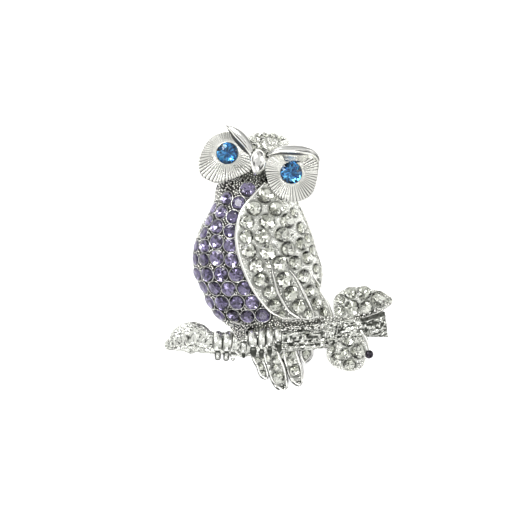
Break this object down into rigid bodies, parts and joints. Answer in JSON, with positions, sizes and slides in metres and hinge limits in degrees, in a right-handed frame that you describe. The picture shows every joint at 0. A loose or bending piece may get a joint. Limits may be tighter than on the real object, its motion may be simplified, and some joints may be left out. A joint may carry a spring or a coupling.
{
  "type": "figural animal brooch",
  "caption": "Brooch of an owl on a leafy branch: a plated casting set with violet, clear and blue cut stones, with a pin finding on its back.",
  "frame": {"origin": "centre of the bounding box, at the surface that the brooch lies on", "axes": "+Z out of the owl's face, +Y up the owl, +X towards the leaves"},
  "size_m": [0.0378, 0.0443, 0.0135],
  "materials": {
    "plated_casting": "bright silver-coloured plating over cast zinc alloy, darker in its hollows",
    "pin_metal": "plain bright steel",
    "blue_stone": "foil-backed cut glass, sapphire blue",
    "violet_stone": "foil-backed cut glass, violet",
    "clear_stone": "foil-backed cut glass, clear"
  },
  "bodies": {
    "root": {"casting": "plated_casting", "pin_back": "pin_metal", "eye_stone_left": "blue_stone", "eye_stone_right": "blue_stone", "forehead_stones": "clear_stone", "breast_stones": "violet_stone", "wing_stones": "clear_stone", "upper_leaf_stones": "clear_stone", "lower_leaf_stones": "clear_stone", "tail_stones": "clear_stone"}
  },
  "joints": []
}
